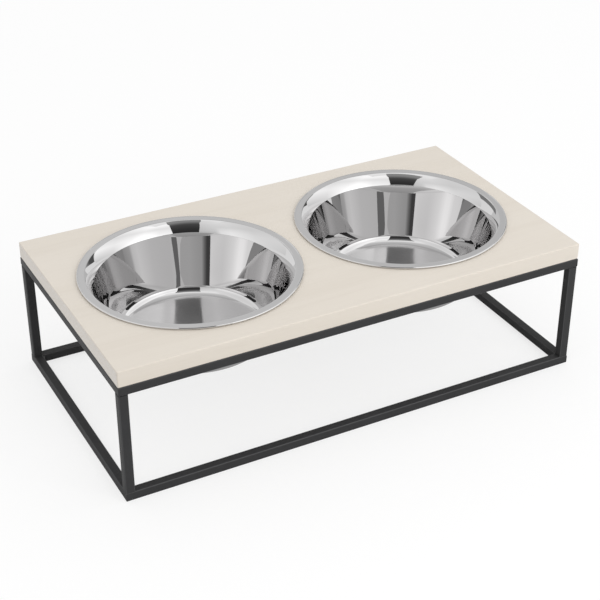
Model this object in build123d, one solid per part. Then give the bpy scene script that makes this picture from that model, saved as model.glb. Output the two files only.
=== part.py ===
from build123d import *
import os
from math import cos, radians, sin, sqrt

# Raised feeder for two bowls, in millimetres.  X runs along the length, the front is -Y and Z is up.
# The origin is on the floor, under the middle of the stand.

# ---- driving sizes: the stand ---------------------------------------------------------------------
stand_depth = 285.0            # front to back
stand_height = 152.0           # floor to the top of the board
board_thickness = 18.0
board_edge_round = 1.2         # softened long edges of the board, top and bottom
board_corner_round = 1.6       # softened upright corners of the board
end_margin = 20.75             # bowl rim to the end of the board
rim_gap = 18.5                 # space between the two bowl rims

tube_size = 10.0               # square tube of the frame
tube_wall = 1.0
tube_corner_round = 1.5        # outside radius of the tube's long edges
tube_inside_round = 0.5        # inside radius of the same edges

# ---- driving sizes: the bowls ---------------------------------------------------------------------
rim_diameter = 235.0
bowl_depth = 77.0              # top of the board to the underside of the bowl
sheet = 0.8                    # gauge of the steel
bead_diameter = 2.4            # rolled edge
bead_turn = 290.0              # how far the edge is curled, in degrees
bead_rise_turn = 25.0          # short upward bend between flange and rolled edge, in degrees
bead_rise_radius = 1.5
flange_width = 7.5             # outside of the rim to the bend at the inner edge of the flange
flange_bend_radius = 1.6       # all bend radii are those of the middle of the sheet
flare_radius = 34.0            # curved band between the flange and the wall
flare_top_lean = 48.0          # lean of the band from upright, under the flange, in degrees
flare_foot_lean = 25.0         # the same above the crease
crease_radius = 2.6            # crease between the curved band and the straight wall
wall_lean = 14.5               # lean of the wall from upright, in degrees
base_radius = 12.4             # bend between the wall and the floor

# ---- driving sizes: fasteners and welds -----------------------------------------------------------
screw_diameter = 3.5
screw_head_diameter = 7.0
screw_head_height = 2.2
screw_crown_diameter = 4.4     # flat top of the head
screw_point_length = 4.0
screw_cover = 3.0              # wood left above the point
screw_end_distance = 65.0      # end of the board to the outer screws
recess_width = 1.0             # cross recess of the screw head
recess_length = 4.2
recess_depth = 1.3
weld_leg = 2.4                 # legs of the weld beads in the corners of the two rings
weld_hollow_radius = 3.8       # radius of the hollow face of a bead
weld_setback = 1.6             # the beads stop this far short of the rounded edges

# ---- clearances -----------------------------------------------------------------------------------
rim_seat_gap = 0.3             # under the rolled edge
bowl_hole_clearance = 2.0      # around the curved band where it passes the top of the board
bowl_hole_chamfer = 1.0
screw_hole_clearance = 0.25    # on the radius, through the top wall of the tube
screw_access_clearance = 0.6   # on the radius, around the head in the bottom wall of the tube
screw_thread_clearance = 0.05  # on the radius, in the wood

# ---- worked out from the above --------------------------------------------------------------------
rim_radius = rim_diameter / 2
stand_length = 2 * rim_diameter + rim_gap + 2 * end_margin
bowl_offset = (rim_diameter + rim_gap) / 2
board_bottom = stand_height - board_thickness
ring_top_bottom = board_bottom - tube_size
screw_length = tube_wall + board_thickness - screw_cover
screw_seat = board_bottom - tube_wall
screw_offset = stand_length / 2 - screw_end_distance
rail_offset = (stand_depth - tube_size) / 2
side_rail_offset = (stand_length - tube_size) / 2


def save(node, shape):
    """Names the sub-part and writes it as one STEP file."""
    shape.label = node
    os.makedirs("parts", exist_ok=True)
    export_step(shape, f"parts/{node}.step")


# ---- frame ----------------------------------------------------------------------------------------
def tube_section():
    """Square tube, seen along its length, on the XY plane."""
    hollow = tube_size - 2 * tube_wall
    outside = RectangleRounded(tube_size, tube_size, tube_corner_round)
    return outside - RectangleRounded(hollow, hollow, tube_inside_round)


def mitred_rail(length):
    """Tube along X with both ends cut at 45 degrees.  The long side faces -Y."""
    bar = extrude(Plane.YZ * tube_section(), amount=length / 2, both=True)
    long_side = length / 2
    short_side = long_side - tube_size
    half = tube_size / 2
    outline = Polyline(
        (-long_side, -half), (long_side, -half), (short_side, half), (-short_side, half), close=True
    )
    return bar & extrude(make_face(outline), amount=half, both=True)


def drill_for_screw(rail, along):
    """Clearance hole in the top wall and access hole in the bottom wall, at a place along the rail."""
    screw_hole = Cylinder(screw_diameter / 2 + screw_hole_clearance, tube_size)
    access_hole = Cylinder(screw_head_diameter / 2 + screw_access_clearance, tube_size)
    rail -= Pos(along, 0, tube_size / 2) * screw_hole
    rail -= Pos(along, 0, -tube_size / 2) * access_hole
    return rail


def place_rail(rail, side, middle_height):
    """Moves a rail that was made with its outer face to -Y to one side of a ring."""
    places = {
        "front": Pos(0, -rail_offset, middle_height),
        "back": Pos(0, rail_offset, middle_height) * Rot(0, 0, 180),
        "left": Pos(-side_rail_offset, 0, middle_height) * Rot(0, 0, -90),
        "right": Pos(side_rail_offset, 0, middle_height) * Rot(0, 0, 90),
    }
    return places[side] * rail


rail_lengths = {"front": stand_length, "back": stand_length, "left": stand_depth, "right": stand_depth}
rail_screws = {
    "front": (-screw_offset, 0, screw_offset),
    "back": (-screw_offset, 0, screw_offset),
    "left": (0,),
    "right": (0,),
}

for side, length in rail_lengths.items():
    top_rail = mitred_rail(length)
    for along in rail_screws[side]:
        top_rail = drill_for_screw(top_rail, along)
    save(f"top_rail_{side}", place_rail(top_rail, side, ring_top_bottom + tube_size / 2))
    save(f"bottom_rail_{side}", place_rail(mitred_rail(length), side, tube_size / 2))

corners = {
    "front_left": (-1, -1),
    "front_right": (1, -1),
    "back_left": (-1, 1),
    "back_right": (1, 1),
}

for corner, (to_x, to_y) in corners.items():
    post = extrude(tube_section(), amount=ring_top_bottom - tube_size)
    save(f"post_{corner}", Pos(to_x * side_rail_offset, to_y * rail_offset, tube_size) * post)


def weld_bead(to_x, to_y):
    """Bead in the inside corner between two rails, its two flat legs against them."""
    corner = (0, 0)
    along_x = (-to_x * weld_leg, 0)
    along_y = (0, -to_y * weld_leg)
    face = RadiusArc(along_x, along_y, -to_x * to_y * weld_hollow_radius)
    outline = Line(corner, along_x) + face + Line(along_y, corner)
    bead = extrude(make_face(outline), amount=tube_size / 2 - weld_setback, both=True)
    return Pos(to_x * (stand_length / 2 - tube_size), to_y * (stand_depth / 2 - tube_size), 0) * bead


for ring, middle_height in {"top": ring_top_bottom + tube_size / 2, "bottom": tube_size / 2}.items():
    beads = [Pos(0, 0, middle_height) * weld_bead(*directions) for directions in corners.values()]
    save(f"weld_beads_{ring}", Compound(beads))


# ---- bowls ----------------------------------------------------------------------------------------
class SheetLine:
    """Middle line of a pressed sheet, drawn as a run of straights and bends.

    x is the distance from the bowl's axis and y is the height.  Both skins of the sheet are kept
    as the line is drawn, so the gauge is the same all along.
    """

    def __init__(self, start, heading):
        self.x, self.y = start
        self.heading = heading
        self.left_skin = []
        self.right_skin = []

    def skin_point(self, side):
        """Point of the left (1) or right (-1) skin beside the end of the line."""
        angle = radians(self.heading)
        half = side * sheet / 2
        return (self.x - half * sin(angle), self.y + half * cos(angle))

    def straight(self, length):
        begin = {side: self.skin_point(side) for side in (1, -1)}
        angle = radians(self.heading)
        self.x += length * cos(angle)
        self.y += length * sin(angle)
        self.left_skin.append(Line(begin[1], self.skin_point(1)))
        self.right_skin.append(Line(begin[-1], self.skin_point(-1)))

    def bend(self, radius, turn):
        """Turns left for a positive turn in degrees and right for a negative one."""
        towards = 1 if turn > 0 else -1
        angle = radians(self.heading)
        centre = (self.x - towards * radius * sin(angle), self.y + towards * radius * cos(angle))
        first = self.heading - towards * 90
        self.heading += turn
        last = radians(self.heading - towards * 90)
        self.x = centre[0] + radius * cos(last)
        self.y = centre[1] + radius * sin(last)
        self.left_skin.append(CenterArc(centre, radius - towards * sheet / 2, first, turn))
        self.right_skin.append(CenterArc(centre, radius + towards * sheet / 2, first, turn))

    def face(self, start_cap):
        """Closed outline of the sheet, from the cap at its start to its cut edge."""
        cut_edge = Line(self.skin_point(1), self.skin_point(-1))
        return make_face(Wire([start_cap, *self.left_skin, cut_edge, *self.right_skin]))


def bend_run(radius, turn):
    """Distance that a bend of this turn covers across the heading it starts with."""
    return radius * sin(radians(turn))


def bend_rise(radius, turn):
    """Height that a bend of this turn gains over the heading it starts with."""
    return radius * (1 - cos(radians(turn)))


def lean_run(radius, low_lean, high_lean):
    """Distance outward that an arc covers while its lean from upright grows."""
    return radius * (cos(radians(low_lean)) - cos(radians(high_lean)))


def lean_rise(radius, low_lean, high_lean):
    """Height that an arc gains while its lean from upright grows."""
    return radius * (sin(radians(high_lean)) - sin(radians(low_lean)))


# rolled edge and flange
bead_radius = (bead_diameter - sheet) / 2
bead_bottom = stand_height + rim_seat_gap
bead_top = bead_bottom + bead_diameter
bead_step = bend_rise(bead_rise_radius, bead_rise_turn) + bend_rise(bead_radius, bead_rise_turn)
flange_height = bead_top - sheet / 2 - bead_step
bead_centre = rim_radius - bead_diameter / 2
bead_start = bead_centre - bend_run(bead_radius, bead_rise_turn) - bend_run(bead_rise_radius, bead_rise_turn)
flange_edge = rim_radius - flange_width
flange_turn = 90 - flare_top_lean

# curved band
flare_top = flange_edge - bend_run(flange_bend_radius, flange_turn)
flare_top_height = flange_height - bend_rise(flange_bend_radius, flange_turn)
flare_foot = flare_top - lean_run(flare_radius, flare_foot_lean, flare_top_lean)
flare_foot_height = flare_top_height - lean_rise(flare_radius, flare_foot_lean, flare_top_lean)

# wall and floor
wall_top = flare_foot - lean_run(crease_radius, wall_lean, flare_foot_lean)
wall_top_height = flare_foot_height - lean_rise(crease_radius, wall_lean, flare_foot_lean)
base_turn = 90 - wall_lean
floor_height = stand_height - bowl_depth + sheet / 2
wall_foot_height = floor_height + bend_rise(base_radius, base_turn)
wall_length = (wall_top_height - wall_foot_height) / cos(radians(wall_lean))
wall_foot = wall_top - wall_length * sin(radians(wall_lean))
floor_edge = wall_foot - bend_run(base_radius, base_turn)


def bowl():
    """Pressed bowl on the Z axis at its real height."""
    line = SheetLine((0, floor_height), 0)
    start_cap = Line(line.skin_point(-1), line.skin_point(1))
    line.straight(floor_edge)
    line.bend(base_radius, base_turn)
    line.straight(wall_length)
    line.bend(crease_radius, wall_lean - flare_foot_lean)
    line.bend(flare_radius, flare_foot_lean - flare_top_lean)
    line.bend(flange_bend_radius, -flange_turn)
    line.straight(bead_start - flange_edge)
    line.bend(bead_rise_radius, bead_rise_turn)
    line.bend(bead_radius, -bead_rise_turn - bead_turn + 90)
    return revolve(Plane.XZ * line.face(start_cap), axis=Axis.Z)


for hand, to_x in {"left": -1, "right": 1}.items():
    save(f"{hand}_bowl", Pos(to_x * bowl_offset, 0, 0) * bowl())

# ---- board ----------------------------------------------------------------------------------------
flare_centre = flare_top + flare_radius * cos(radians(flare_top_lean))
flare_centre_height = flare_top_height - flare_radius * sin(radians(flare_top_lean))
flare_outside = flare_radius - sheet / 2
flare_reach = sqrt(flare_outside**2 - (stand_height - flare_centre_height) ** 2)
bowl_hole_radius = flare_centre - flare_reach + bowl_hole_clearance


def board():
    """Board with softened edges, two bowl holes and the pilot holes of its screws."""
    blank = extrude(RectangleRounded(stand_length, stand_depth, board_corner_round), amount=board_thickness)
    rims = blank.edges().group_by(Axis.Z)
    blank = fillet(rims[0] + rims[-1], board_edge_round)
    hole = Cylinder(bowl_hole_radius, stand_height)
    chamfer_cone = Cone(
        bowl_hole_radius, bowl_hole_radius + bowl_hole_chamfer, bowl_hole_chamfer,
        align=(Align.CENTER, Align.CENTER, Align.MAX),
    )
    for to_x in (-1, 1):
        blank -= Pos(to_x * bowl_offset, 0, 0) * hole
        blank -= Pos(to_x * bowl_offset, 0, board_thickness) * chamfer_cone
    pilot_depth = board_thickness - screw_cover + screw_thread_clearance
    pilot = Cylinder(
        screw_diameter / 2 + screw_thread_clearance, pilot_depth,
        align=(Align.CENTER, Align.CENTER, Align.MIN),
    )
    for x, y in screw_places:
        blank -= Pos(x, y, 0) * pilot
    return Pos(0, 0, board_bottom) * blank


screw_places = [(along, -rail_offset) for along in rail_screws["front"]]
screw_places += [(along, rail_offset) for along in rail_screws["back"]]
screw_places += [(-side_rail_offset, 0), (side_rail_offset, 0)]


# ---- screws ---------------------------------------------------------------------------------------
def board_screw():
    """Pan head wood screw, point up, its head's seat at height zero."""
    shank_radius = screw_diameter / 2
    head_radius = screw_head_diameter / 2
    crown = screw_crown_diameter / 2
    outline = Polyline(
        (0, -screw_head_height), (crown, -screw_head_height), (head_radius, -screw_head_height / 2),
        (head_radius, 0), (shank_radius, 0), (shank_radius, screw_length - screw_point_length),
        (0, screw_length), close=True,
    )
    screw = revolve(Plane.XZ * make_face(outline), axis=Axis.Z)
    slot = Box(recess_length, recess_width, 2 * recess_depth)
    for turn in (0, 90):
        screw -= Pos(0, 0, -screw_head_height) * Rot(0, 0, turn) * slot
    return screw


save("board", board())
for number, (x, y) in enumerate(screw_places, start=1):
    save(f"board_screw_{number}", Pos(x, y, screw_seat) * board_screw())
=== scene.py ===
import logging
import math
from dataclasses import dataclass, field
from enum import Enum
from typing import Sequence

import bpy
import numpy as np
from mathutils import Euler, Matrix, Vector


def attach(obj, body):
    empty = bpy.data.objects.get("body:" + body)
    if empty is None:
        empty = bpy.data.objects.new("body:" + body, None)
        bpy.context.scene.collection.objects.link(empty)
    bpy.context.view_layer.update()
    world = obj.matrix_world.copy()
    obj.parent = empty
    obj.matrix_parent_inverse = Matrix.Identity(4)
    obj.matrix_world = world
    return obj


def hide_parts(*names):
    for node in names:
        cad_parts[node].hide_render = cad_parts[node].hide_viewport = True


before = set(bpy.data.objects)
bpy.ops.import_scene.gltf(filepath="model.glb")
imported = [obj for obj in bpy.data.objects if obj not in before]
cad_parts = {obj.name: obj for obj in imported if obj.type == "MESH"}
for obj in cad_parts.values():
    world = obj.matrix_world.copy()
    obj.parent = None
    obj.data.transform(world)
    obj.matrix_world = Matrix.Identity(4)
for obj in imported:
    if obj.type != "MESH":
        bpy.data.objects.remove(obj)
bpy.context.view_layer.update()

LOG = logging.getLogger("raised_feeder")
MM = 0.001
BOWL_OFFSET = 126.75 * MM

Array = np.ndarray
Colour = tuple[float, float, float]
Point = tuple[float, float, float]
Span = tuple[float, float]
Socket = bpy.types.NodeSocket


class Body(Enum):
    """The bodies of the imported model."""

    STAND = "stand"
    LEFT_BOWL = "left_bowl"
    RIGHT_BOWL = "right_bowl"


class Slot(Enum):
    """Names of the material slots for the frame and the bowls."""

    FRAME = "frame_black"
    BOWL = "bowl_steel"


class Ring(Enum):
    """The two rings of square tube in the frame."""

    TOP = "top"
    BOTTOM = "bottom"


# ---- materials --------------------------------------------------------------------------------
class Nodes:
    """Puts nodes into a node tree and joins them up."""

    def __init__(self, tree: bpy.types.NodeTree) -> None:
        """Starts work on a tree.

        Args:
            tree: the tree of a material or of the world.
        """
        self.tree = tree

    def node(self, kind: str, **settings: object) -> bpy.types.Node:
        """Adds a node.

        Args:
            kind: the node's type name.
            settings: properties set on the node.

        Returns:
            The new node.
        """
        made = self.tree.nodes.new(kind)
        for name, value in settings.items():
            setattr(made, name, value)
        return made

    def feed(self, socket: Socket, value: "Socket | float | Sequence[float]") -> None:
        """Joins a socket to another one, or sets it to a plain value.

        Args:
            socket: the input to feed.
            value: an output socket, a number or a row of numbers.
        """
        if isinstance(value, bpy.types.NodeSocket):
            self.tree.links.new(value, socket)
        else:
            socket.default_value = value

    def math(self, operation: str, *values: "Socket | float", clamp: bool = False) -> Socket:
        """Works out one number from others.

        Args:
            operation: the name of the sum, such as ADD.
            values: what goes into it, in order.
            clamp: keeps the result between 0 and 1.

        Returns:
            The socket with the result.
        """
        made = self.node("ShaderNodeMath", operation=operation, use_clamp=clamp)
        for socket, value in zip(made.inputs, values):
            self.feed(socket, value)
        return made.outputs[0]

    def place(self, scale: Sequence[float], shift: Sequence[float] = (0, 0, 0)) -> Socket:
        """Gives Object coordinates, stretched along each axis.

        Args:
            scale: repeats per metre along X, Y and Z.
            shift: how far the pattern is moved, after stretching.

        Returns:
            The socket with the coordinates.
        """
        where = self.node("ShaderNodeTexCoord").outputs["Object"]
        return self.stretch(where, scale, shift)

    def stretch(self, where: Socket, scale: Sequence[float],
                shift: Sequence[float] = (0, 0, 0)) -> Socket:
        """Stretches a set of coordinates.

        Args:
            where: the coordinates.
            scale: factor along each axis.
            shift: how far they are moved, after stretching.

        Returns:
            The socket with the new coordinates.
        """
        mapping = self.node("ShaderNodeMapping")
        self.feed(mapping.inputs["Vector"], where)
        self.feed(mapping.inputs["Scale"], scale)
        self.feed(mapping.inputs["Location"], shift)
        return mapping.outputs[0]

    def cloud(self, where: Socket, detail: float = 2.0, roughness: float = 0.5,
              warp: float = 0.0) -> Socket:
        """Gives soft noise between 0 and 1.

        Args:
            where: the coordinates, one cell of noise to a unit.
            detail: how many finer layers are added.
            roughness: how strong the finer layers are.
            warp: how far the noise is pulled about by itself.

        Returns:
            The socket with the noise.
        """
        noise = self.node("ShaderNodeTexNoise")
        self.feed(noise.inputs["Vector"], where)
        self.feed(noise.inputs["Scale"], 1.0)
        self.feed(noise.inputs["Detail"], detail)
        self.feed(noise.inputs["Roughness"], roughness)
        self.feed(noise.inputs["Distortion"], warp)
        return noise.outputs[0]

    def spread(self, value: Socket, low: float, high: float, to_low: float = 0.0,
               to_high: float = 1.0) -> Socket:
        """Stretches the part of a value between low and high, and cuts off the rest.

        Args:
            value: the number to stretch.
            low: what becomes to_low.
            high: what becomes to_high.
            to_low: the lower end of the result.
            to_high: the upper end of the result.

        Returns:
            The socket with the result.
        """
        made = self.node("ShaderNodeMapRange", clamp=True)
        for socket, number in zip(made.inputs, (value, low, high, to_low, to_high)):
            self.feed(socket, number)
        return made.outputs[0]

    def mix(self, share: "Socket | float", first: "Socket | Colour",
            second: "Socket | Colour") -> Socket:
        """Blends two colours.  The node's sockets 6, 7 and 2 are its colours.

        Args:
            share: how much of the second colour shows.
            first: the first colour.
            second: the second colour.

        Returns:
            The socket with the colour.
        """
        made = self.node("ShaderNodeMix", data_type="RGBA")
        self.feed(made.inputs["Factor"], share)
        for socket, colour in zip((made.inputs[6], made.inputs[7]), (first, second)):
            joined = isinstance(colour, bpy.types.NodeSocket)
            self.feed(socket, colour if joined else (*colour, 1.0))
        return made.outputs[2]

    def edges(self, flat: float = 0.995, turned: float = 0.75) -> Socket:
        """Finds rounded edges by the greatest part of the normal along any one axis.

        Args:
            flat: the part under which an edge begins.
            turned: the part at which the surface is well into the edge.

        Returns:
            The socket with 0 on a flat face, rising to 1 halfway round an edge.
        """
        facing = self.node("ShaderNodeNewGeometry").outputs["Normal"]
        size = self.node("ShaderNodeVectorMath", operation="ABSOLUTE")
        self.feed(size.inputs[0], facing)
        parts = self.node("ShaderNodeSeparateXYZ")
        self.feed(parts.inputs[0], size.outputs[0])
        most = self.math("MAXIMUM", parts.outputs[0], parts.outputs[1])
        most = self.math("MAXIMUM", most, parts.outputs[2])
        return self.spread(most, flat, turned)

    def bump(self, height: Socket, depth: float, below: "Socket | None" = None) -> Socket:
        """Turns a height into a bumped normal.

        Args:
            height: the height, between 0 and 1.
            depth: what a height of 1 stands for, in metres.
            below: a bumped normal that this one is added to.

        Returns:
            The socket with the normal.
        """
        made = self.node("ShaderNodeBump")
        self.feed(made.inputs["Height"], height)
        self.feed(made.inputs["Distance"], depth)
        self.feed(made.inputs["Strength"], 1.0)
        if below is not None:
            self.feed(made.inputs["Normal"], below)
        return made.outputs[0]


class Recipe(Nodes):
    """A new material with one shader and its output."""

    def __init__(self, name: str) -> None:
        """Starts the material.

        Args:
            name: the material's name.
        """
        self.material = bpy.data.materials.new(name)
        self.material.use_nodes = True
        super().__init__(self.material.node_tree)
        self.shader = self.tree.nodes["Principled BSDF"]
        self.output = self.tree.nodes["Material Output"]

    def set(self, **inputs: "Socket | float | Sequence[float]") -> bpy.types.Material:
        """Feeds the shader's own sockets, written with underscores for spaces.

        Args:
            inputs: what each socket gets.

        Returns:
            The finished material.
        """
        for name, value in inputs.items():
            self.feed(self.shader.inputs[name.replace("_", " ")], value)
        return self.material


@dataclass(frozen=True)
class Whitewash:
    """Pale washed wood, its grain along X.

    The grain is noise that is stretched along X, so the ends of the board show it as specks.  The
    ends are also painted lighter, partly as end grain and partly as painted light.  A window is
    the part of the noise over which a mark goes from nothing to its full share.
    """

    tone: Colour = (0.740, 0.682, 0.604)
    streak: Colour = (0.665, 0.602, 0.520)
    bloom: Colour = (0.785, 0.735, 0.668)
    # tone of the ends: partly end grain, partly light painted onto them
    lit_end_grain_tone: Colour = (0.830, 0.803, 0.776)
    streak_repeats: Point = (2.4, 62.0, 62.0)
    fibre_repeats: Point = (16.0, 640.0, 640.0)
    wash_repeats: Point = (4.0, 9.0, 9.0)
    pore_repeats: Point = (42.0, 1150.0, 1150.0)
    wash_shift: Point = (3.1, 1.7, 0.4)
    pore_shift: Point = (0.0, 5.3, 0.0)
    streak_window: Span = (0.46, 0.74)
    fibre_window: Span = (0.50, 0.85)
    pore_window: Span = (0.66, 0.80)
    bloom_window: Span = (0.45, 0.75)
    speck_window: Span = (0.35, 0.70)
    end_window: Span = (0.75, 0.98)
    satin_window: Span = (0.25, 0.80)
    satin: Span = (0.50, 0.62)
    streak_share: float = 0.34
    fibre_share: float = 0.18
    pore_share: float = 0.22
    bloom_share: float = 0.38
    end_share: float = 0.75
    edge_share: float = 0.45
    fibre_height: float = 0.5
    grain_depth: float = 0.00006
    gloss: float = 0.35

    def make(self) -> bpy.types.Material:
        """Builds the material.

        Returns:
            The material.
        """
        r = Recipe("whitewashed_wood")
        streaks = r.cloud(r.place(self.streak_repeats), detail=4.0, roughness=0.62, warp=0.35)
        fibres = r.cloud(r.place(self.fibre_repeats), detail=2.0, roughness=0.5)
        wash = r.cloud(r.place(self.wash_repeats, self.wash_shift), detail=2.5, roughness=0.5)
        pores = r.cloud(r.place(self.pore_repeats, self.pore_shift), detail=0.0)
        pores = r.spread(pores, *self.pore_window)
        dark = r.math("MULTIPLY", r.spread(streaks, *self.streak_window), self.streak_share)
        fine = r.math("MULTIPLY", r.spread(fibres, *self.fibre_window), self.fibre_share)
        dark = r.math("ADD", dark, fine)
        dark = r.math("ADD", dark, r.math("MULTIPLY", pores, self.pore_share), clamp=True)
        colour = r.mix(dark, self.tone, self.streak)
        bloom = r.spread(wash, *self.bloom_window, 0.0, self.bloom_share)
        colour = r.mix(bloom, colour, self.bloom)
        # painted light: faces towards either end take a lighter tone, partly end grain and partly
        # light painted onto the ends
        facing = r.node("ShaderNodeSeparateXYZ")
        r.feed(facing.inputs[0], r.node("ShaderNodeNewGeometry").outputs["Normal"])
        end = r.spread(r.math("ABSOLUTE", facing.outputs[0]), *self.end_window)
        speckled = r.mix(r.spread(fibres, *self.speck_window), self.lit_end_grain_tone, self.tone)
        colour = r.mix(r.math("MULTIPLY", end, self.end_share), colour, speckled)
        colour = r.mix(r.math("MULTIPLY", r.edges(), self.edge_share), colour, self.streak)
        height = r.math("ADD", streaks, r.math("MULTIPLY", fibres, self.fibre_height))
        height = r.math("SUBTRACT", height, dark)
        return r.set(
            Base_Color=colour,
            Roughness=r.spread(wash, *self.satin_window, *self.satin),
            Specular_IOR_Level=self.gloss,
            Normal=r.bump(height, self.grain_depth),
        )


@dataclass(frozen=True)
class PowderCoat:
    """Black powder coat: a fine orange peel, shinier on the rounded edges and painted lighter
    there, partly as wear and partly as a painted highlight.
    """

    name: str = "black_powder_coat"
    tone: Colour = (0.040, 0.040, 0.041)
    thin: Colour = (0.050, 0.050, 0.052)
    # lighter colour of the rounded edges: partly wear, partly a painted highlight
    worn_and_highlit: Colour = (0.110, 0.110, 0.113)
    dust: Colour = (0.075, 0.075, 0.077)
    peel_repeats: Point = (1500.0, 1500.0, 1500.0)
    cloud_repeats: Point = (28.0, 28.0, 28.0)
    fleck_repeats: Point = (2600.0, 2600.0, 2600.0)
    thin_window: Span = (0.40, 0.75)
    dust_window: Span = (0.70, 0.86)
    satin_window: Span = (0.30, 0.75)
    satin: Span = (0.40, 0.52)
    thin_share: float = 0.5
    edge_share: float = 0.6
    dust_share: float = 0.35
    worn_polish: float = 0.06
    peel_depth: float = 0.000035
    gloss: float = 0.08

    def make(self) -> bpy.types.Material:
        """Builds the material.

        Returns:
            The material.
        """
        r = Recipe(self.name)
        peel = r.cloud(r.place(self.peel_repeats), detail=1.5, roughness=0.45)
        patches = r.cloud(r.place(self.cloud_repeats), detail=3.0, roughness=0.55)
        flecks = r.spread(r.cloud(r.place(self.fleck_repeats), detail=0.0), *self.dust_window)
        worn_and_highlit = r.edges()
        thin = r.spread(patches, *self.thin_window, 0.0, self.thin_share)
        colour = r.mix(thin, self.tone, self.thin)
        # painted highlight and wear: the rounded edges are mixed towards a lighter colour
        colour = r.mix(r.math("MULTIPLY", worn_and_highlit, self.edge_share), colour, self.worn_and_highlit)
        colour = r.mix(r.math("MULTIPLY", flecks, self.dust_share), colour, self.dust)
        roughness = r.spread(patches, *self.satin_window, *self.satin)
        return r.set(
            Base_Color=colour,
            Roughness=r.math("SUBTRACT", roughness, r.math("MULTIPLY", worn_and_highlit, self.worn_polish)),
            Specular_IOR_Level=self.gloss,
            Normal=r.bump(peel, self.peel_depth),
        )


@dataclass(frozen=True)
class SpunSteel:
    """Mirror-polished steel, turned on its axis.

    The polishing lines run round the bowl: noise on (cosine, sine, distance along the section),
    which the mesh carries as the attribute SPIN.  The attribute HAZE says how dull the polish is.
    """

    tone: Colour = (0.646, 0.641, 0.642)
    line_repeats: Point = (3.0, 3.0, 2400.0)
    band_repeats: Point = (1.2, 1.2, 60.0)
    swell_repeats: Point = (2.2, 2.2, 26.0)
    swell_shift: Point = (4.0, 2.0, 0.0)
    band_window: Span = (0.2, 0.8)
    band_change: Span = (0.8, 1.25)
    line_depth: float = 0.0000003
    swell_depth: float = 0.0000015
    polished: float = 0.015
    dull: float = 0.18

    def make(self) -> bpy.types.Material:
        """Builds the material.

        Returns:
            The material.
        """
        r = Recipe("spun_mirror_steel")
        spin = r.node("ShaderNodeAttribute", attribute_name=Bowl.SPIN).outputs["Vector"]
        haze = r.node("ShaderNodeAttribute", attribute_name=Bowl.HAZE).outputs["Fac"]
        lines = r.cloud(r.stretch(spin, self.line_repeats), detail=3.0, roughness=0.6)
        bands = r.cloud(r.stretch(spin, self.band_repeats), detail=2.0)
        swell = r.cloud(r.stretch(spin, self.swell_repeats, self.swell_shift), detail=0.0)
        roughness = r.math("MULTIPLY_ADD", haze, self.dull - self.polished, self.polished)
        change = r.spread(bands, *self.band_window, *self.band_change)
        roughness = r.math("MULTIPLY", roughness, change)
        normal = r.bump(swell, self.swell_depth)
        return r.set(
            Base_Color=(*self.tone, 1.0),
            Metallic=1.0,
            Roughness=roughness,
            Normal=r.bump(lines, self.line_depth, normal),
        )


@dataclass(frozen=True)
class ZincPlate:
    """Bright zinc on the screws, lightly brushed and clouded."""

    tone: Colour = (0.52, 0.52, 0.50)
    stain: Colour = (0.34, 0.34, 0.33)
    cloud_repeats: Point = (420.0, 420.0, 420.0)
    brush_repeats: Point = (500.0, 4200.0, 4200.0)
    stain_window: Span = (0.45, 0.75)
    sheen_window: Span = (0.30, 0.70)
    sheen: Span = (0.30, 0.48)
    stain_share: float = 0.8
    brush_depth: float = 0.00001
    metal: float = 0.9

    def make(self) -> bpy.types.Material:
        """Builds the material.

        Returns:
            The material.
        """
        r = Recipe("zinc_plate")
        stains = r.cloud(r.place(self.cloud_repeats), detail=2.0)
        brushed = r.cloud(r.place(self.brush_repeats), detail=1.0)
        stained = r.spread(stains, *self.stain_window, 0.0, self.stain_share)
        return r.set(
            Base_Color=r.mix(stained, self.tone, self.stain),
            Metallic=self.metal,
            Roughness=r.spread(stains, *self.sheen_window, *self.sheen),
            Normal=r.bump(brushed, self.brush_depth),
        )


# ---- meshes -----------------------------------------------------------------------------------
def grid_faces(rows: int, columns: int, closed_rows: bool, closed_columns: bool) -> Array:
    """Quads of a grid of points that are numbered row by row.

    Args:
        rows: number of rows.
        columns: number of columns.
        closed_rows: the last row joins the first.
        closed_columns: the last column joins the first.

    Returns:
        One row of four corners for each quad, in the order (row, column), (row + 1, column),
        (row + 1, column + 1), (row, column + 1).
    """
    i = np.arange(rows if closed_rows else rows - 1)[:, None]
    j = np.arange(columns if closed_columns else columns - 1)[None, :]
    below, beside = (i + 1) % rows, (j + 1) % columns
    corners = (i * columns + j, below * columns + j, below * columns + beside, i * columns + beside)
    return np.stack(np.broadcast_arrays(*corners), axis=-1).reshape(-1, 4)


def new_piece(name: str, points: Array, faces: "list[list[int]]") -> bpy.types.Object:
    """Makes a smooth mesh object at the origin.

    Args:
        name: the piece's name.
        points: one row of three coordinates for each point, in metres.
        faces: the corners of each face.

    Returns:
        The new object.
    """
    mesh = bpy.data.meshes.new(name)
    mesh.from_pydata(points.tolist(), [], faces)
    mesh.polygons.foreach_set("use_smooth", np.ones(len(faces), dtype=bool))
    mesh.update()
    piece = bpy.data.objects.new(name, mesh)
    bpy.context.scene.collection.objects.link(piece)
    return piece


def dress_nodes(names: Sequence[str], material: bpy.types.Material) -> "list[bpy.types.Object]":
    """Gives CAD nodes one material in place of their plain one.

    Args:
        names: the nodes.
        material: what they are made of.

    Returns:
        The nodes' objects.
    """
    dressed = [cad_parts[name] for name in names]
    for piece in dressed:
        piece.data.materials.clear()
        piece.data.materials.append(material)
    return dressed


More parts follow.
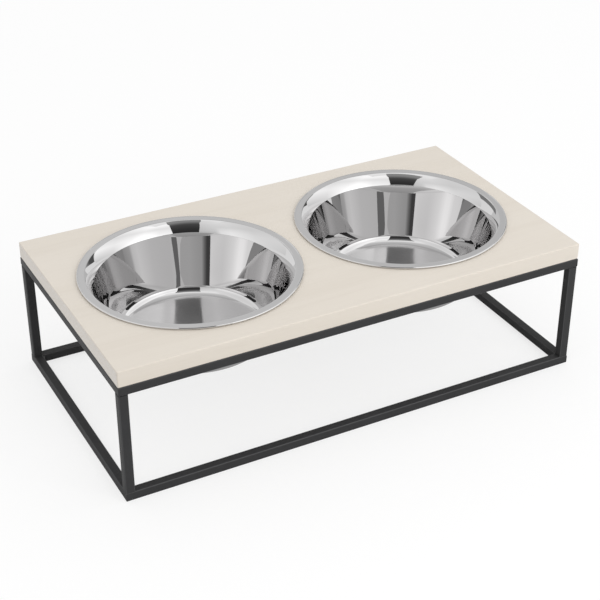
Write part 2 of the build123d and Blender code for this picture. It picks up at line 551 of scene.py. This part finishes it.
@dataclass
class SheetLine:
    """Draws the middle line of a sheet as straights and bends, as arrays of points.

    A straight of length s goes from p to p + s (cos h, sin h).  A bend of radius R goes round the
    centre p + R (-sin h, cos h) for a left turn, or p - R (-sin h, cos h) for a right one, while
    the heading h changes by the turn.
    """

    x: float
    y: float
    heading: float = 0.0
    points: "list[Array]" = field(default_factory=list)
    headings: "list[Array]" = field(default_factory=list)

    def begin(self) -> None:
        """Keeps the starting point."""
        self.points.append(np.array([[self.x, self.y]]))
        self.headings.append(np.array([self.heading]))

    def straight(self, length: float, steps: int) -> None:
        """Goes straight on.

        Args:
            length: how far.
            steps: into how many equal pieces the line is cut.
        """
        along = length * np.arange(1, steps + 1) / steps
        line = np.stack([self.x + along * math.cos(self.heading),
                         self.y + along * math.sin(self.heading)], axis=1)
        self.points.append(line)
        self.headings.append(np.full(steps, self.heading))
        self.x, self.y = line[-1]

    def bend(self, radius: float, turn: float, steps: int) -> None:
        """Goes round a bend.

        Args:
            radius: radius of the middle of the sheet.
            turn: change of heading in degrees, to the left where it is positive.
            steps: into how many equal pieces the bend is cut.
        """
        side = math.copysign(1.0, turn)
        centre = np.array([self.x - side * radius * math.sin(self.heading),
                           self.y + side * radius * math.cos(self.heading)])
        headings = self.heading + math.radians(turn) * np.arange(1, steps + 1) / steps
        arc = centre + side * radius * np.stack([np.sin(headings), -np.cos(headings)], axis=1)
        self.points.append(arc)
        self.headings.append(headings)
        self.x, self.y = arc[-1]
        self.heading = float(headings[-1])

    def drawn(self) -> "tuple[Array, Array]":
        """All points, and the unit normal to the left of the line at each of them."""
        headings = np.concatenate(self.headings)
        return np.concatenate(self.points), np.stack([-np.sin(headings), np.cos(headings)], axis=1)


@dataclass
class Bowl:
    """A pressed steel bowl with a rolled edge.

    The section of the sheet is its two skins, the middle line moved by half the gauge to either
    side.  It is turned round the bowl's axis: (r cos a, r sin a, z).  Turns and leans are in
    degrees, and a lean is taken from upright.
    """

    SPIN = "spin"
    HAZE = "haze"

    body: Body
    axis_x: float
    seat: float = 152 * MM
    sheet: float = 0.8 * MM
    rim_radius: float = 117.5 * MM
    depth: float = 77 * MM
    seat_gap: float = 0.3 * MM
    bead_diameter: float = 2.4 * MM
    bead_turn: float = 290
    rise_radius: float = 1.5 * MM
    rise_turn: float = 25
    flange_width: float = 7.5 * MM
    flange_bend: float = 1.6 * MM
    flare_radius: float = 34 * MM
    flare_top_lean: float = 48
    flare_foot_lean: float = 25
    crease_radius: float = 2.6 * MM
    wall_lean: float = 14.5
    base_radius: float = 12.4 * MM
    floor_cuts: int = 6
    base_cuts: int = 22
    wall_cuts: int = 5
    crease_cuts: int = 8
    flare_cuts: int = 10
    flange_bend_cuts: int = 10
    flange_cuts: int = 3
    rise_cuts: int = 6
    bead_cuts: int = 34
    columns: int = 320
    middle_haze: float = 1.0
    floor_edge_haze: float = 0.85
    haze_fade: float = 0.6

    @property
    def bead_bend(self) -> float:
        """Radius of the rolled edge, to the middle of the sheet."""
        return (self.bead_diameter - self.sheet) / 2

    @property
    def floor_middle(self) -> float:
        """Height of the floor, at the middle of the sheet."""
        return self.seat - self.depth + self.sheet / 2

    def straights(self) -> "tuple[float, float, float]":
        """Works along the middle line from the rolled edge inward, to find its straight runs.

        A bend of radius R from one lean to another moves the line by R times the difference of
        their cosines along r, and by R times the difference of their sines along z.

        Returns:
            The lengths of the floor, the wall and the flange.
        """
        sin, cos, rad = math.sin, math.cos, math.radians
        rise, rise_bends = rad(self.rise_turn), self.rise_radius + self.bead_bend
        flange_z = self.seat + self.seat_gap + self.bead_diameter - self.sheet / 2
        flange_z -= rise_bends * (1 - cos(rise))
        bead_start = self.rim_radius - self.bead_diameter / 2 - rise_bends * sin(rise)
        flange_edge = self.rim_radius - self.flange_width
        high, low, lean = rad(self.flare_top_lean), rad(self.flare_foot_lean), rad(self.wall_lean)
        r = flange_edge - self.flange_bend * cos(high)
        z = flange_z - self.flange_bend * (1 - sin(high))
        r -= self.flare_radius * (cos(low) - cos(high))
        z -= self.flare_radius * (sin(high) - sin(low))
        r -= self.crease_radius * (cos(lean) - cos(low))
        z -= self.crease_radius * (sin(low) - sin(lean))
        wall = (z - self.floor_middle - self.base_radius * (1 - sin(lean))) / cos(lean)
        floor = r - wall * sin(lean) - self.base_radius * cos(lean)
        return floor, wall, bead_start - flange_edge

    def section(self) -> "tuple[Array, Array, Array]":
        """Draws the middle line outward from the axis, and moves it to both skins of the sheet.

        Returns:
            The points (r, z) of the section from the axis along the upper skin to the rolled edge
            and back along the lower skin, their distance along the middle line, and the haze at
            each.
        """
        floor, wall, flange = self.straights()
        line = SheetLine(0.0, self.floor_middle)
        line.begin()
        line.straight(floor, self.floor_cuts)
        line.bend(self.base_radius, 90 - self.wall_lean, self.base_cuts)
        line.straight(wall, self.wall_cuts)
        line.bend(self.crease_radius, self.wall_lean - self.flare_foot_lean, self.crease_cuts)
        line.bend(self.flare_radius, self.flare_foot_lean - self.flare_top_lean, self.flare_cuts)
        line.bend(self.flange_bend, self.flare_top_lean - 90, self.flange_bend_cuts)
        line.straight(flange, self.flange_cuts)
        line.bend(self.rise_radius, self.rise_turn, self.rise_cuts)
        line.bend(self.bead_bend, 90 - self.rise_turn - self.bead_turn, self.bead_cuts)
        middle, left = line.drawn()
        along = np.concatenate([[0.0], np.cumsum(np.linalg.norm(np.diff(middle, axis=0), axis=1))])
        haze = np.interp(along, [0.0, floor, floor + self.haze_fade * self.base_radius],
                         [self.middle_haze, self.floor_edge_haze, 0.0])
        upper, lower = middle + left * self.sheet / 2, middle - left * self.sheet / 2
        points = np.concatenate([upper, lower[::-1]])
        return points, np.concatenate([along, along[::-1]]), np.concatenate([haze, haze[::-1]])

    def rays(self) -> Array:
        """The directions (cos a, sin a) of the columns."""
        angle = np.linspace(0.0, 2 * math.pi, self.columns, endpoint=False)
        return np.stack([np.cos(angle), np.sin(angle)], axis=1)

    def shell(self, section: Array) -> "tuple[Array, list[list[int]]]":
        """Turns the section round the axis, and closes it with a fan of triangles at each pole.

        Args:
            section: the points (r, z) of the section, whose first and last lie on the axis.

        Returns:
            The points, ring by ring and then the two poles, and the faces.
        """
        rings = section[1:-1]
        around = rings[:, 0][:, None, None] * self.rays()[None]
        height = np.broadcast_to(rings[:, 1][:, None, None], (len(rings), self.columns, 1))
        turned = np.concatenate([around, height], axis=2).reshape(-1, 3)
        poles = np.array([[0.0, 0.0, section[0, 1]], [0.0, 0.0, section[-1, 1]]])
        points = np.concatenate([turned, poles]) + np.array([self.axis_x, 0.0, 0.0])
        quads = grid_faces(len(rings), self.columns, False, True)
        upper_pole, lower_pole = len(turned), len(turned) + 1
        j = np.arange(self.columns)
        beside = (j + 1) % self.columns
        last = len(turned) - self.columns
        upper_fan = np.stack([np.full_like(j, upper_pole), j, beside], axis=1)
        lower_fan = np.stack([np.full_like(j, lower_pole), last + beside, last + j], axis=1)
        return points, quads.tolist() + upper_fan.tolist() + lower_fan.tolist()

    def mark(self, piece: bpy.types.Object, along: Array, haze: Array) -> None:
        """Writes the attributes that the polish follows: (cos a, sin a, along), and the haze.

        Args:
            piece: the bowl.
            along: distance along the middle line at each point of the section.
            haze: dullness at each point of the section.
        """
        rings = len(along) - 2
        round_and_along = [np.tile(self.rays(), (rings, 1)), np.repeat(along[1:-1], self.columns)]
        spin = np.concatenate([np.column_stack(round_and_along), np.zeros((2, 3))])
        layer = piece.data.attributes.new(self.SPIN, "FLOAT_VECTOR", "POINT")
        layer.data.foreach_set("vector", spin.astype(np.float32).ravel())
        dullness = np.concatenate([np.repeat(haze[1:-1], self.columns), haze[[0, -1]]])
        layer = piece.data.attributes.new(self.HAZE, "FLOAT", "POINT")
        layer.data.foreach_set("value", dullness.astype(np.float32))

    def build(self, steel: bpy.types.Material) -> bpy.types.Object:
        """Builds the bowl as a closed solid and puts it on its body.

        Args:
            steel: the material.

        Returns:
            The bowl.
        """
        section, along, haze = self.section()
        piece = new_piece(f"{self.body.value}_pressed", *self.shell(section))
        self.mark(piece, along, haze)
        piece.data.materials.append(steel)
        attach(piece, self.body.value)
        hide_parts(self.body.value)
        return piece


@dataclass
class WeldBeads:
    """The four weld beads in the inside corners of one ring of the frame.

    Along a bead the parameter t goes from end to end, and across it s goes from one rail to the
    other.  The face is the straight line between the two legs, sunk by a parabola 4 s (1 - s), and
    raised in crescents by the cosine of a phase that runs with t and lags in the middle.  Both legs
    shrink to almost nothing at the ends along a quarter ellipse.
    """

    ring: Ring
    middle_height: float
    corner_x: float
    corner_y: float
    leg: float = 2.4 * MM
    length: float = 6.8 * MM
    sink: float = 0.32 * MM
    ripple: float = 0.14 * MM
    ripples: float = 7.0
    lag: float = 2.2
    full_until: float = 0.72
    least_taper: float = 0.004
    rows: int = 72
    columns: int = 18

    def bead(self, to_x: int, to_y: int) -> "tuple[Array, Array]":
        """Works out one bead, whose last column runs up the corner itself.

        A mirrored corner has its quads turned over, so that they point outwards all the same.

        Args:
            to_x: 1 for a right corner, -1 for a left one.
            to_y: 1 for a back corner, -1 for a front one.

        Returns:
            The points and the quads of a closed bead.
        """
        t = np.linspace(-1.0, 1.0, self.rows)[:, None]
        s = np.linspace(0.0, 1.0, self.columns)[None, :]
        past = np.clip((np.abs(t) - self.full_until) / (1 - self.full_until), 0, 1)
        taper = np.sqrt(np.clip(1 - past ** 2, self.least_taper, 1))
        bow = 4 * s * (1 - s)
        phase = math.pi * self.ripples * t + self.lag * bow
        sunk = (self.sink - self.ripple * (0.5 + 0.5 * np.cos(phase))) * bow * math.sqrt(0.5)
        in_x = taper * (self.leg * (1 - s) - sunk)
        in_y = taper * (self.leg * s - sunk)
        corner = np.zeros((self.rows, 1))
        in_x, in_y = np.hstack([in_x, corner]), np.hstack([in_y, corner])
        up = np.broadcast_to(t * self.length / 2, in_x.shape)
        points = np.stack([to_x * (self.corner_x - in_x), to_y * (self.corner_y - in_y),
                           self.middle_height + up], axis=-1).reshape(-1, 3)
        faces = grid_faces(self.rows, self.columns + 1, False, True)
        return points, faces if to_x * to_y < 0 else faces[:, ::-1]

    def build(self, coat: bpy.types.Material) -> bpy.types.Object:
        """Joins the four beads of the ring into one piece.

        Args:
            coat: the material.

        Returns:
            The piece.
        """
        points, faces, count = [], [], 0
        wide = self.columns + 1
        for to_x in (-1, 1):
            for to_y in (-1, 1):
                bead_points, quads = self.bead(to_x, to_y)
                ends = [np.arange(wide)[::-1], np.arange(wide) + wide * (self.rows - 1)]
                caps = [(end if to_x * to_y < 0 else end[::-1]) + count for end in ends]
                points.append(bead_points)
                faces += (quads + count).tolist() + [cap.tolist() for cap in caps]
                count += len(bead_points)
        piece = new_piece(f"{self.ring.value}_weld_beads", np.concatenate(points), faces)
        piece.data.materials.append(coat)
        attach(piece, Body.STAND.value)
        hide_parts(f"weld_beads_{self.ring.value}")
        return piece


@dataclass
class Stand:
    """The board, its frame of square tube, the screws and the weld beads."""

    length: float = 530 * MM
    depth: float = 285 * MM
    board_underside: float = 134 * MM
    tube: float = 10 * MM
    screws: int = 8
    # painted highlight: the welds' coat is lighter than the tubes' to stand for light caught by the
    # beads' ripples
    weld_highlit_tone: Colour = (0.070, 0.070, 0.072)
    weld_gloss: float = 0.5

    def dress(self) -> "list[bpy.types.Object]":
        """Gives the board, the tubes and the screws their finishes.

        Returns:
            The dressed nodes.
        """
        sides = ("front", "back", "left", "right")
        rails = [f"{ring.value}_rail_{side}" for ring in Ring for side in sides]
        posts = [f"post_{end}_{hand}" for end in ("front", "back") for hand in ("left", "right")]
        screws = [f"board_screw_{number}" for number in range(1, self.screws + 1)]
        dressed = dress_nodes(["board"], Whitewash().make())
        dressed += dress_nodes(rails + posts, PowderCoat().make())
        dressed += dress_nodes(screws, ZincPlate().make())
        return dressed

    def weld(self) -> "list[bpy.types.Object]":
        """Adds the weld beads of both rings.

        Returns:
            The beads, one piece for each ring.
        """
        # the lighter tone on the welds is a painted highlight
        coat = PowderCoat("highlit_powder_coat_on_welds", self.weld_highlit_tone, gloss=self.weld_gloss)
        finish = coat.make()
        inside_x, inside_y = self.length / 2 - self.tube, self.depth / 2 - self.tube
        tops = {Ring.TOP: self.board_underside, Ring.BOTTOM: self.tube}
        return [WeldBeads(ring, top - self.tube / 2, inside_x, inside_y).build(finish)
                for ring, top in tops.items()]

    def build(self) -> "list[bpy.types.Object]":
        """Dresses the CAD nodes and adds the weld beads."""
        return self.dress() + self.weld()


# ---- studio -----------------------------------------------------------------------------------
@dataclass(frozen=True)
class Rib:
    """One straight line across a card: its two ends, and its glow at even steps from end to end."""

    start: Point
    end: Point
    glow: "tuple[float, ...]"


@dataclass(frozen=True)
class Card:
    """A sheet that only shiny surfaces see, stretched over a few ribs.

    A point is (1 - u) start + u end, with start, end and the glow running straight from one rib to
    the next.
    """

    name: str
    ribs: "tuple[Rib, ...]"
    steps: int = 8

    def build(self) -> bpy.types.Object:
        """Makes the card.

        Returns:
            The card.
        """
        spans = len(self.ribs) - 1
        v = np.linspace(0, spans, self.steps * spans + 1)
        rib = np.minimum(v.astype(int), spans - 1)
        share = (v - rib)[:, None]
        u = np.linspace(0.0, 1.0, self.steps + 1)

        def between(rows: "list[Array]") -> Array:
            """Runs straight from one rib's row of numbers to the next rib's."""
            return (1 - share) * np.array(rows)[rib] + share * np.array(rows)[rib + 1]

        start, end = between([r.start for r in self.ribs]), between([r.end for r in self.ribs])
        points = (1 - u)[None, :, None] * start[:, None] + u[None, :, None] * end[:, None]
        faces = grid_faces(len(v), self.steps + 1, False, False).tolist()
        card = new_piece(self.name, points.reshape(-1, 3), faces)
        glow = between([np.interp(u, np.linspace(0, 1, len(r.glow)), r.glow) for r in self.ribs])
        layer = card.data.attributes.new("glow", "FLOAT", "POINT")
        layer.data.foreach_set("value", glow.astype(np.float32).ravel())
        recipe = Recipe(self.name)
        light = recipe.node("ShaderNodeEmission")
        strength = recipe.node("ShaderNodeAttribute", attribute_name="glow").outputs["Fac"]
        recipe.feed(light.inputs["Strength"], strength)
        recipe.feed(recipe.output.inputs["Surface"], light.outputs[0])
        card.data.materials.append(recipe.material)
        for ray in ("camera", "diffuse", "shadow", "transmission", "volume_scatter"):
            setattr(card, f"visible_{ray}", False)
        return card


def upright(name: str, low: float, high: float, *posts: "tuple[float, ...]") -> Card:
    """Makes a card of upright ribs.

    Args:
        name: the card's name.
        low: height of the lower edge.
        high: height of the upper edge.
        posts: bearing b and distance d of each rib, which stands at (d sin b, -d cos b), then its
            glow from low to high.  Bearing 0 is straight in front of the stand and 90 is at its
            right end.

    Returns:
        The card.
    """
    ribs = []
    for bearing, distance, *glow in posts:
        turn = math.radians(bearing)
        x, y = distance * math.sin(turn), -distance * math.cos(turn)
        ribs.append(Rib((x, y, low), (x, y, high), tuple(glow)))
    return Card(name, tuple(ribs))


@dataclass
class Studio:
    """A pale floor in soft light, with cards for the polished steel to mirror.

    A bright panel stands on the right and a softer one on the left.  The front slot is the dim
    place between them where the camera stands.  The gaps are dim strips between the panels and
    the back wall.
    """

    floor_rings: "tuple[float, ...]" = (1.0, 3.0, 9.0)
    floor_sides: int = 96
    floor_tone: Colour = (0.62, 0.62, 0.62)
    floor_shown: float = 0.28
    fill: float = 0.88
    key_place: Point = (0.75, -2.1, 1.25)
    key_size: float = 1.5
    key_power: float = 19.0
    camera_place: Point = (-0.62096, -1.17696, 0.87577)
    camera_azimuth: float = -27.87
    camera_fall: float = 30.857
    lens: float = 84.729
    sensor: float = 36.0
    mirror_bounces: int = 12
    cards: "tuple[Card, ...]" = (
        # lit low down, dark from half a metre up to a little above the camera, brighter over that
        Card("front_slot", (
            Rib((-0.540, -0.610, 0.0), (-0.020, -0.560, 0.0), (0.5,)),
            Rib((-0.560, -0.625, 0.300), (-0.030, -0.530, 0.300), (0.5,)),
            Rib((-0.575, -0.635, 0.450), (-0.170, -0.900, 0.450), (0.45,)),
            Rib((-0.578, -0.632, 0.500), (-0.168, -0.905, 0.500), (0.05,)),
            Rib((-0.580, -0.630, 0.543), (-0.168, -0.908, 0.570), (0.035,)),
            Rib((-0.554, -0.567, 0.704), (-0.138, -0.894, 0.770), (0.045,)),
            Rib((-0.519, -0.493, 0.862), (-0.102, -0.875, 1.001), (0.065,)),
            Rib((-0.479, -0.422, 0.972), (-0.065, -0.855, 1.215), (0.085,)),
            Rib((-0.441, -0.361, 1.040), (-0.033, -0.836, 1.399), (0.18,)),
            Rib((-0.425, -0.300, 1.077), (0.025, -0.812, 1.531), (0.30,)),
            Rib((-0.402, -0.250, 1.113), (0.055, -0.795, 1.663), (0.34,)),
            Rib((-0.320, -0.130, 1.115), (0.140, -0.745, 2.056), (0.38,)),
        )),
        Card("left_gap", (
            Rib((-0.500, 1.113, 0.84), (-0.500, 1.113, 1.35), (0.26,)),
            Rib((0.050, 4.300, 0.80), (-0.530, 4.300, 2.60), (0.26,)),
        )),
        upright("back_wall", 0.0, 2.4, (186.9, 4.37, 0.76), (160.0, 3.2, 0.76), (129.8, 2.5, 0.64)),
        upright("right_gap", 0.72, 2.0, (129.8, 2.5, 0.60), (124.0, 2.5, 0.30), (117.5, 2.55, 0.10),
                (109.0, 2.6, 0.10)),
        # the right panel goes on, higher up, in front of the gap
        upright("right_wing", 1.42, 3.4, (108.8, 1.8, 1.3), (119.5, 1.8, 1.2)),
        upright("right_softbox", 0.42, 3.4,
                (-18.0, 1.8, 1.46, 1.25, 1.15, 1.30, 1.30),
                (10.0, 1.8, 1.68, 1.36, 1.16, 1.40, 1.42),
                (22.0, 1.8, 2.14, 1.60, 1.20, 1.46, 1.48),
                (32.0, 1.8, 2.16, 1.66, 1.26, 1.48, 1.50),
                (48.0, 1.8, 1.70, 1.45, 1.18, 1.38, 1.40),
                (75.0, 1.8, 1.02, 1.30, 1.11, 1.30, 1.30),
                (108.8, 1.8, 0.82, 1.40, 1.10, 1.20, 1.20)),
        upright("left_softbox", 0.42, 3.0,
                (-38.0, 1.8, 0.45, 0.76, 0.84, 0.90, 0.95),
                (-58.0, 1.8, 0.58, 0.88, 0.95, 1.00, 1.06),
                (-64.0, 1.8, 1.14, 1.10, 0.95, 1.02, 1.10),
                (-77.0, 1.8, 1.30, 1.20, 0.98, 1.03, 1.09),
                (-108.0, 1.8, 1.08, 1.03, 0.91, 0.94, 0.95),
                (-153.0, 1.8, 0.84, 0.98, 0.94, 0.96, 0.96)),
        # the shaded floor under the stand, which would otherwise be mirrored as almost plain white
        Card("floor_shade", (
            Rib((-0.30, -0.160, 0.0006), (0.30, -0.160, 0.0006), (0.80,)),
            Rib((-0.27, -0.125, 0.0006), (0.27, -0.125, 0.0006), (0.42,)),
            Rib((-0.27, 0.125, 0.0006), (0.27, 0.125, 0.0006), (0.42,)),
            Rib((-0.30, 0.160, 0.0006), (0.30, 0.160, 0.0006), (0.80,)),
        )),
        Card("ceiling", (
            Rib((1.9, 1.5, 2.2), (0.1, 2.45, 2.2), (0.5,)),
            Rib((1.0, -0.3, 2.2), (-0.8, 0.65, 2.2), (0.75,)),
            Rib((0.7, -0.9, 2.2), (-1.1, 0.02, 2.2), (1.2,)),
            Rib((0.5, -1.3, 2.2), (-1.3, -0.4, 2.2), (1.1,)),
        )),
    )

    def seen_plainly(self, r: Nodes) -> Socket:
        """Tells the rays that show the background from those that light the object.

        Args:
            r: the nodes of the floor or the world.

        Returns:
            The socket with 1 for rays from the camera, a mirror or a clear material, else 0.
        """
        path = r.node("ShaderNodeLightPath").outputs
        either = r.math("MAXIMUM", path["Is Camera Ray"], path["Is Glossy Ray"])
        return r.math("MAXIMUM", either, path["Is Transmission Ray"])

    def build_world(self) -> None:
        """White where it is seen, and the fill light everywhere else."""
        world = bpy.data.worlds.new("studio")
        bpy.context.scene.world = world
        world.use_nodes = True
        r = Nodes(world.node_tree)
        sky = r.tree.nodes["Background"]
        r.feed(sky.inputs["Color"], (1.0, 1.0, 1.0, 1.0))
        r.feed(sky.inputs["Strength"], r.spread(self.seen_plainly(r), 0.0, 1.0, self.fill, 1.0))

    def floor_finish(self) -> bpy.types.Material:
        """Builds a grey that lights the object, and shows as white with a soft shadow.

        Returns:
            The material.
        """
        r = Recipe("pale_floor")
        plain = r.node("ShaderNodeBsdfDiffuse")
        r.feed(plain.inputs["Color"], (*self.floor_tone, 1.0))
        shaded = r.node("ShaderNodeBsdfDiffuse")
        r.feed(shaded.inputs["Color"], (self.floor_shown, self.floor_shown, self.floor_shown, 1.0))
        glow = r.node("ShaderNodeEmission")
        r.feed(glow.inputs["Strength"], 1.0 - self.floor_shown)
        white = r.node("ShaderNodeAddShader")
        r.feed(white.inputs[0], shaded.outputs[0])
        r.feed(white.inputs[1], glow.outputs[0])
        choose = r.node("ShaderNodeMixShader")
        r.feed(choose.inputs[0], self.seen_plainly(r))
        r.feed(choose.inputs[1], plain.outputs[0])
        r.feed(choose.inputs[2], white.outputs[0])
        r.feed(r.output.inputs["Surface"], choose.outputs[0])
        return r.material

    def build_floor(self) -> None:
        """A round floor (r cos a, r sin a, 0), closed by a fan of triangles in the middle."""
        rings, sides = len(self.floor_rings), self.floor_sides
        radius = np.array(self.floor_rings)[:, None]
        angle = np.linspace(0.0, 2 * math.pi, sides, endpoint=False)[None, :]
        ring = np.broadcast_arrays(radius * np.cos(angle), radius * np.sin(angle), 0.0)
        points = np.concatenate([np.stack(ring, axis=-1).reshape(-1, 3), np.zeros((1, 3))])
        j = np.arange(sides)
        fan = np.stack([np.full_like(j, rings * sides), j, (j + 1) % sides], axis=1)
        faces = grid_faces(rings, sides, False, True).tolist() + fan.tolist()
        floor = new_piece("studio_floor", points, faces)
        floor.data.materials.append(self.floor_finish())

    def build_key(self) -> None:
        """One broad soft lamp in front, to the right and above."""
        lamp = bpy.data.lights.new("key_softbox", "AREA")
        lamp.shape = "SQUARE"
        lamp.size = self.key_size
        lamp.energy = self.key_power
        holder = bpy.data.objects.new("key_softbox", lamp)
        holder.location = self.key_place
        holder.rotation_euler = (-Vector(self.key_place)).to_track_quat("-Z", "Y").to_euler()
        holder.visible_glossy = False
        bpy.context.scene.collection.objects.link(holder)

    def build_camera(self) -> None:
        """The camera, level, looking along its azimuth and down."""
        camera = bpy.data.cameras.new("camera")
        camera.sensor_width = self.sensor
        camera.lens = self.lens
        holder = bpy.data.objects.new("camera", camera)
        holder.location = self.camera_place
        tilt, turn = math.radians(90 - self.camera_fall), math.radians(self.camera_azimuth)
        holder.rotation_euler = Euler((tilt, 0.0, turn))
        bpy.context.scene.collection.objects.link(holder)
        bpy.context.scene.camera = holder

    def build(self) -> None:
        """Sets up the camera, the floor, the light and the cards."""
        bpy.context.scene.view_settings.view_transform = "Standard"
        bpy.context.scene.cycles.glossy_bounces = self.mirror_bounces
        self.build_camera()
        self.build_world()
        self.build_floor()
        self.build_key()
        for card in self.cards:
            card.build()
        LOG.info("studio ready with %d cards", len(self.cards))


def main() -> None:
    """Builds the studio, the stand and the bowls, and reports each piece."""
    logging.basicConfig(level=logging.INFO, format="%(name)s: %(message)s")
    Studio().build()
    pieces = Stand().build()
    steel = SpunSteel().make()
    for body, side in ((Body.LEFT_BOWL, -1), (Body.RIGHT_BOWL, 1)):
        pieces.append(Bowl(body, side * BOWL_OFFSET).build(steel))
    for piece in pieces:
        finish, faces = piece.data.materials[0].name, len(piece.data.polygons)
        LOG.info("built %s in %s with %d faces", piece.name, finish, faces)


if __name__ == "__main__":
    main()
